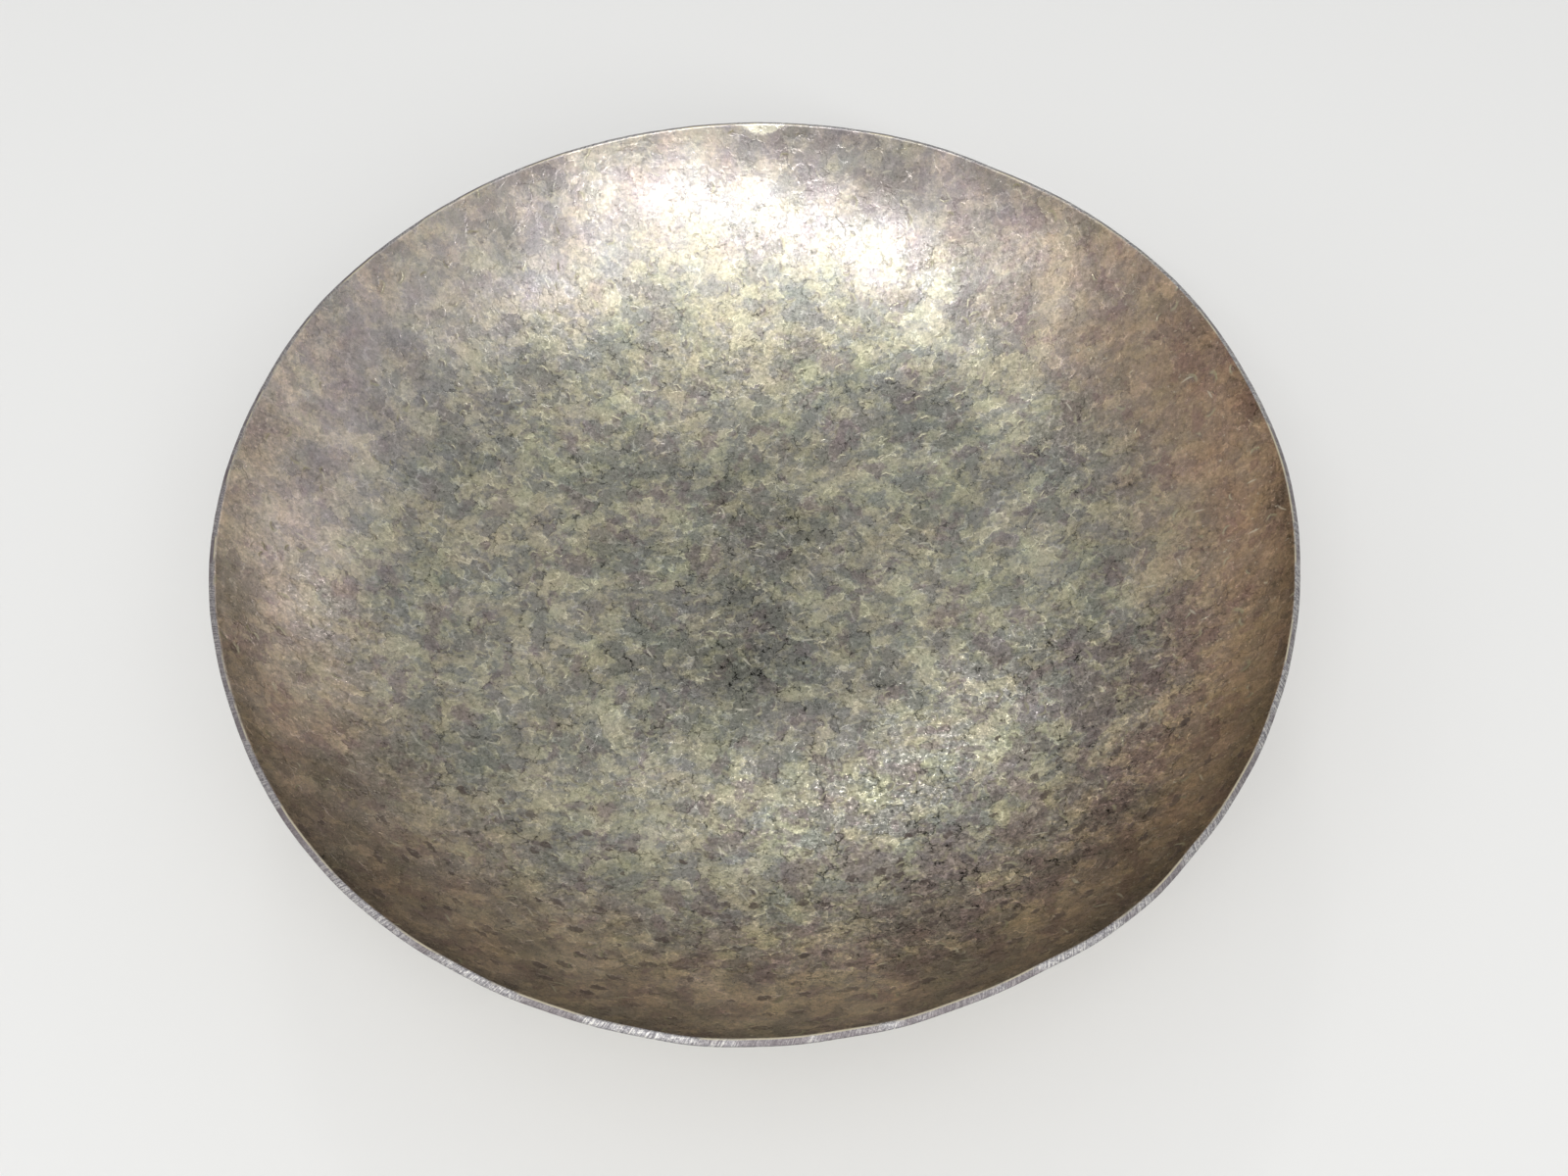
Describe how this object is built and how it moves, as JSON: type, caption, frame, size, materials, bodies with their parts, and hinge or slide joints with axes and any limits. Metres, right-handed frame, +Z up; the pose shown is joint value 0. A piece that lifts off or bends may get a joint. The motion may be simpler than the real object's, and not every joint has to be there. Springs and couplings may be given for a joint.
{
  "type": "metal bowl",
  "caption": "Shallow round bowl of hammered bronze sheet, with a plain cut rim and a flat underside that it rests on.",
  "frame": {"origin": "middle of the flat underside, on the surface that the bowl stands on", "axes": "+Z up along the bowl's axis out of its mouth; +Y towards the back, where the rim has the small filed scoop; +X to the right"},
  "size_m": [0.22, 0.22, 0.0481],
  "materials": {
    "bronze": "hammered bronze with a mottled olive, buff and purple-brown patina, satin, brighter on the cut rim"
  },
  "bodies": {
    "root": {"bowl": "bronze"}
  },
  "joints": []
}
